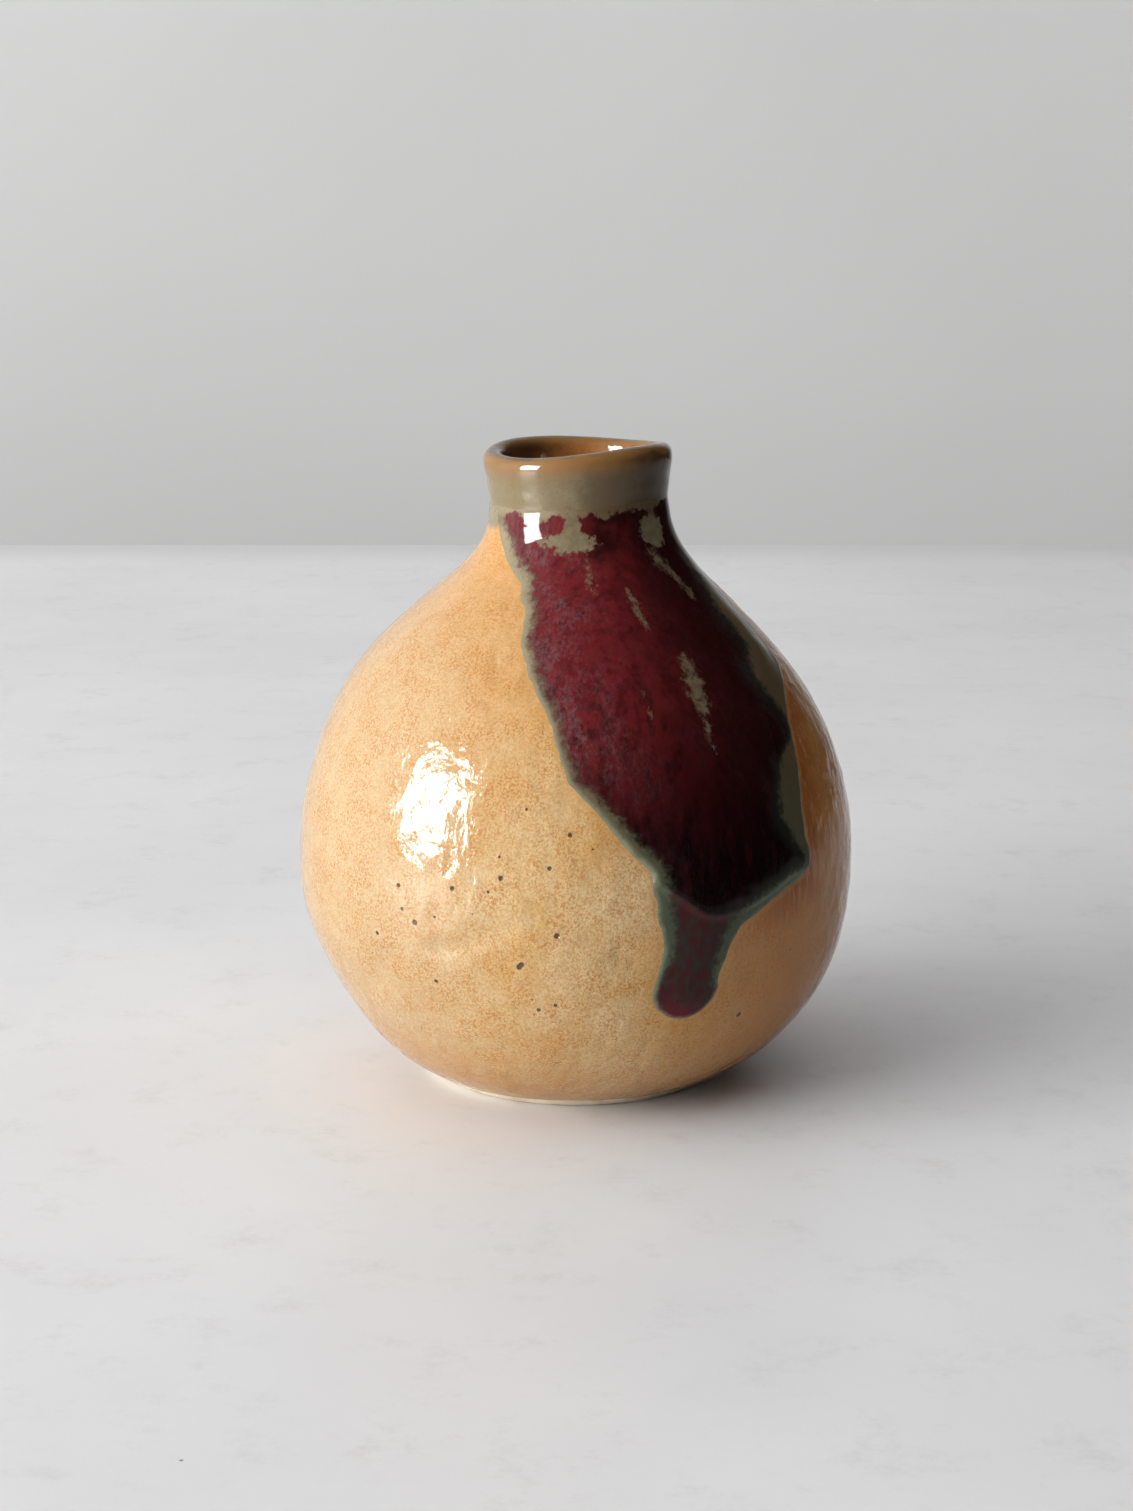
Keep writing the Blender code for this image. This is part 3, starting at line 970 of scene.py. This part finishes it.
def buff_piece():
    """The tan glaze all over the outside, with a rounded and wavering edge above the foot."""
    rows, columns = BUFF_GRID
    low = skin.outside(BUFF_LOW_EDGE)
    length = skin.outside(COLLAR_LOW + OVERLAP) - low
    edge_rows = np.array(BUFF_EDGE_ROWS) * MM
    along = np.concatenate([edge_rows, np.linspace(BUFF_EDGE_END * MM, length, rows - len(edge_rows))])
    along, bearing = turned_grid(along, columns)
    waver = uneven(circle(bearing, 30), BUFF_EDGE_WAVER)
    s = low + along + waver * MM * ease(along, 0.3 * length, 0)
    points = skin.at(s, bearing)
    lift = relief(points, skin.height(s), 1.0) - round_edge(along / MM, BUFF_EDGE_WIDTH, BUFF_EDGE_DROP)
    fields = glaze_fields(points, s, bearing)
    keep = {name: fields[name] for name in ("edge", "tide", "across")}
    keep["tide"] = np.maximum(keep["tide"], skin.height(s) - TIDE_OVER_BUFF)
    faces = grid_faces(rows, columns, True)
    piece("BuffGlaze", "buff_glaze", raised(s, bearing, lift), faces, buff_material(), keep)


def pour_piece():
    """The pour: a sheet that thickens from its rounded edges to its middle, its roll and its drip."""
    rows, columns = POUR_GRID
    up, across = (part.ravel() for part in np.mgrid[0 : 1 : rows * 1j, 0 : 1 : columns * 1j])
    across = across - EDGE_CROWDING * np.sin(math.tau * across) / math.tau
    height = DRIP_END + (POUR_LEFT[-1][0] - DRIP_END) * up**DRIP_CROWDING
    left, right = pour_edges(height)
    bearing = np.radians(left + (right - left) * across)
    s = skin.outside(height)
    points = skin.at(s, bearing)
    fields = glaze_fields(points, s, bearing)
    edge, below_roll = fields["edge"], fields["drip"]
    thin = POUR_THIN_ABOVE + (POUR_THIN - POUR_THIN_ABOVE) * ease(height, *EDGES_THICKEN)
    thick = thin + (POUR_THICK - thin) * ease(edge, 1, 8)
    thick += ROLL_RISE * np.exp(-((below_roll / np.where(below_roll > 0, ROLL_BELOW, ROLL_ABOVE)) ** 2))
    thick -= DRIP_THINNER * ease(below_roll, 0, 2)
    thick += BEAD_RISE * np.exp(-(((height - BEAD_HEIGHT) / BEAD_REACH) ** 2))
    thick += uneven(points, POUR_FLOW)
    thick *= ease(height, *POUR_THINS_OUT)
    rounded = 1 - (1 - np.clip(edge / POUR_EDGE_WIDTH, 0, 1)) ** 2
    lift = relief(points, height, POUR_DIMPLES) - POUR_SUNK + (thick + POUR_SUNK) * rounded
    faces = grid_faces(rows, columns, False)
    piece("OxbloodPour", "oxblood_pour", raised(s, bearing, lift), faces, pour_material(), fields)


def collar_piece():
    """The glaze round the neck, over the lip and a little way down inside."""
    rows, columns = COLLAR_GRID
    crest = skin.up[1][-1]
    low, end = skin.outside(COLLAR_LOW), skin.inside(COLLAR_INSIDE)
    along = np.linspace(0, end - low, rows)
    along, bearing = turned_grid(along, columns)
    s = low + along + COLLAR_WAVER * ripple(circle(bearing, 16), 4, 41) * MM * ease(along, 4 * MM, 0)
    points = skin.at(s, bearing)
    lift = COLLAR_LIFT * ease(along, 0, COLLAR_SLOPE * MM) - SUNK
    lift = lift * ease(s, end, end - 2 * MM) + 0.03 * ripple(points, 3, 42) * ease(along, 0, 2 * MM)
    fields = {"lip": np.abs(s - crest) / MM, "inside": (s - crest) / MM, "across": np.sin(bearing)}
    faces = grid_faces(rows, columns, True)
    piece("CeladonCollar", "celadon_collar", raised(s, bearing, lift), faces, celadon_material(), fields)


def liner_piece():
    """The glaze inside, closed at the middle of the floor."""
    rows, columns = LINER_GRID
    start = skin.inside(COLLAR_INSIDE + OVERLAP)
    s, bearing = turned_grid(np.linspace(start, skin.length - FLOOR_CAP * MM, rows), columns)
    points = skin.at(s, bearing)
    lift = 0.08 * ripple(points, 9, 51) * ease(s, start, start + 8 * MM) - SUNK
    faces = [*grid_faces(rows, columns, True), range((rows - 1) * columns, rows * columns)]
    piece("LinerGlaze", "liner_glaze", raised(s, bearing, lift), faces, liner_material())


def clay_piece():
    """The clay: the foot ring and its recess from the frame, then the wall just under the glazes."""
    rows, columns = CLAY_GRID
    underside = [v.co for v in frame["nodes"]["stoneware_body"].data.vertices if v.co.z < UNDERSIDE * MM]
    ring = [co for co in underside if co.z < FOOT_LEVEL * MM]
    centre = sum(ring, Vector()) / len(ring)
    inner, outer = (pick((co - centre).xy.length for co in ring) / MM for pick in (min, max))
    recess = max(co.z for co in underside if (co - centre).xy.length < inner * MM) / MM
    foot = [(FLOOR_CAP, recess), (inner - recess, recess)]
    foot += [(inner - FOOT_ROUND, 0.25), (inner + FOOT_ROUND, 0)]
    foot += [(outer - 0.5, 0), (outer - 0.1, 0.15), (outer + FOOT_ROUND, 0.5)]
    radius, height = np.array(foot).T
    passed = np.concatenate([[0], np.cumsum(np.hypot(np.diff(radius), np.diff(height)))])
    fine = np.concatenate([np.arange(0, passed[3], 0.6), np.linspace(passed[3], passed[-1], 16)])
    radius, height = np.interp(fine, passed, radius), np.interp(fine, passed, height)
    radius, bearing = turned_grid(radius, columns)
    height = np.repeat(height, columns)
    flat = np.stack([radius * np.sin(bearing), -radius * np.cos(bearing), height], axis=1) * MM
    flat += np.array(centre)
    flat[:, 2] += 0.15 * MM * ripple(flat, 3, 61, 0.3) * ease(height, 0, recess)
    s, bearing = turned_grid(np.linspace(0, skin.length - FLOOR_CAP * MM, rows), columns)
    wall = raised(s, bearing, -CLAY_DEPTH - CLAY_DEPTH_MORE * ease(s, 2 * MM, 6 * MM))
    points = np.concatenate([flat, wall])
    total = len(points) // columns
    middle = range(columns)[::-1], range((total - 1) * columns, total * columns)
    faces = [*grid_faces(total, columns, True), *middle]
    piece("Stoneware", "stoneware_body", points, faces, clay_material())


# ---------------------------------------------------------------- the room

# The room in metres: the table's far edge, the wall behind it, and half its width
TABLE_EDGE = 0.605
TABLE_EDGE_WIDTH = 0.045
WALL_BEHIND = 1.3
WALL_FOOT = -1.0
WALL_TOP = 3.0
ROOM_HALF = 3.0

# Between which distances towards +X the table and the wall fall into shade
TABLE_SHADE = (-0.1, 1.3)
WALL_SHADE = (0.3, 1.1)

# The camera: its place in metres, how many degrees it looks down, and its lens and sensor in millimetres
CAMERA_PLACE = (-0.0017, -0.5682, 0.1879)
CAMERA_DOWN = 12.861
CAMERA_LENS = 76.24
CAMERA_SENSOR = 36

# The window seen in the gloss, its soft daylight and the light from the ceiling. For each: the direction
# that it comes from, the distance of its middle in metres, its width and height, and its power in watts.
WINDOW = (Vector((-0.874, -0.431, 0.27)), 2.2, (0.92, 0.94), 230)
DAYLIGHT = (Vector((-0.84, -0.44, 0.31)), 2.4, (2.0, 1.6), 70)
CEILING = (Vector((0.05, 0.1, 1.0)), 2.4, (3.4, 3.4), 26)

# The light of the room itself: its colour, its strength away from the window and towards it, and between
# which directions along X it changes
ROOM_COLOUR = (1.0, 0.995, 0.99, 1.0)
ROOM_DARK = 0.05
ROOM_LIGHT = 1.8
ROOM_FADE = (-0.1, -0.9)


def flat_sheet(name, corners, material):
    """One flat polygon of the room."""
    mesh = bpy.data.meshes.new(name)
    mesh.from_pydata(corners, [], [range(len(corners))])
    mesh.materials.append(material)
    made = bpy.data.objects.new(name, mesh)
    bpy.context.scene.collection.objects.link(made)


def shaded(paint, base, reach):
    """The room falls into shade to the right of the picture."""
    return paint.mix(paint.rise(paint.side(), *reach), base, ROOM_SHADE)


def table_material():
    """Pale and slightly glossy, with faint stains and a duller strip at its far edge."""
    paint = Paint("pale table", 0.38, 0.2)
    cloudy = paint.rise(paint.cloud(90, 3), 0.3, 0.7)
    base = paint.mix(cloudy, TABLE_GREY, TABLE_PALE)
    grime = paint.rise(paint.cloud(16, 8, 0.8), 0.5, 0.78, most=0.3)
    base = paint.mix(grime, base, TABLE_GRIME)
    base = paint.mix(paint.specks(26, 0.4, 0.12), base, TABLE_SPOT)
    far = paint.rise(paint.depth(), TABLE_EDGE - TABLE_EDGE_WIDTH, TABLE_EDGE)
    base = paint.mix(far, base, TABLE_FAR)
    paint.colour(shaded(paint, base, TABLE_SHADE))
    return paint.material


def wall_material():
    """A plain grey wall, very slightly cloudy."""
    paint = Paint("grey wall", 0.9, 0.1)
    cloudy = paint.rise(paint.cloud(400, 2), 0.3, 0.7)
    base = paint.mix(cloudy, WALL_GREY, WALL_PALE)
    paint.colour(shaded(paint, base, WALL_SHADE))
    return paint.material


def room():
    """The table, the wall behind it and the light of the room."""
    left, right = -ROOM_HALF, ROOM_HALF
    table = [(left, -ROOM_HALF, 0), (right, -ROOM_HALF, 0), (right, TABLE_EDGE, 0), (left, TABLE_EDGE, 0)]
    wall = [(left, WALL_TOP), (right, WALL_TOP), (right, WALL_FOOT), (left, WALL_FOOT)]
    flat_sheet("Table", table, table_material())
    flat_sheet("Wall", [(x, WALL_BEHIND, z) for x, z in wall], wall_material())
    bpy.context.scene.world = room_light()


def room_light():
    """A dim room that is lighter on the window's side."""
    world = bpy.data.worlds.new("Studio")
    world.use_nodes = True
    tree = world.node_tree
    background = tree.nodes["Background"]
    background.inputs["Color"].default_value = ROOM_COLOUR
    place = tree.nodes.new("ShaderNodeTexCoord")
    apart = tree.nodes.new("ShaderNodeSeparateXYZ")
    fade = tree.nodes.new("ShaderNodeMapRange")
    fade.interpolation_type = "SMOOTHSTEP"
    fade.inputs["From Min"].default_value, fade.inputs["From Max"].default_value = ROOM_FADE
    fade.inputs["To Min"].default_value = ROOM_DARK
    fade.inputs["To Max"].default_value = ROOM_LIGHT
    tree.links.new(place.outputs["Generated"], apart.inputs["Vector"])
    tree.links.new(apart.outputs["X"], fade.inputs["Value"])
    tree.links.new(fade.outputs["Result"], background.inputs["Strength"])
    return world


def light(name, facts, glossy, diffuse):
    """A rectangle of light aimed at the middle of the pot, seen in its gloss or lighting its colour."""
    direction, away, size, power = facts
    data = bpy.data.lights.new(name, "AREA")
    data.shape = "RECTANGLE"
    data.size, data.size_y = size
    data.energy = power
    made = bpy.data.objects.new(name, data)
    middle = (CAD_BOX[0][2] + CAD_BOX[1][2]) / 2
    made.location = direction.normalized() * away + Vector((0, 0, middle))
    made.rotation_euler = direction.to_track_quat("Z", "Y").to_euler()
    made.visible_glossy = glossy
    made.visible_diffuse = diffuse
    bpy.context.scene.collection.objects.link(made)


def camera():
    """The camera at the photo's place, and plain colours as a screen shows them."""
    data = bpy.data.cameras.new("Camera")
    data.sensor_fit = "VERTICAL"
    data.sensor_height = CAMERA_SENSOR
    data.lens = CAMERA_LENS
    made = bpy.data.objects.new("Camera", data)
    made.location = CAMERA_PLACE
    made.rotation_euler = (math.radians(90 - CAMERA_DOWN), 0, 0)
    bpy.context.scene.collection.objects.link(made)
    bpy.context.scene.camera = made
    bpy.context.scene.view_settings.view_transform = "Standard"


buff_piece()
pour_piece()
collar_piece()
liner_piece()
clay_piece()
room()
light("Window", WINDOW, True, False)
light("Daylight", DAYLIGHT, False, True)
light("Ceiling", CEILING, False, True)
camera()
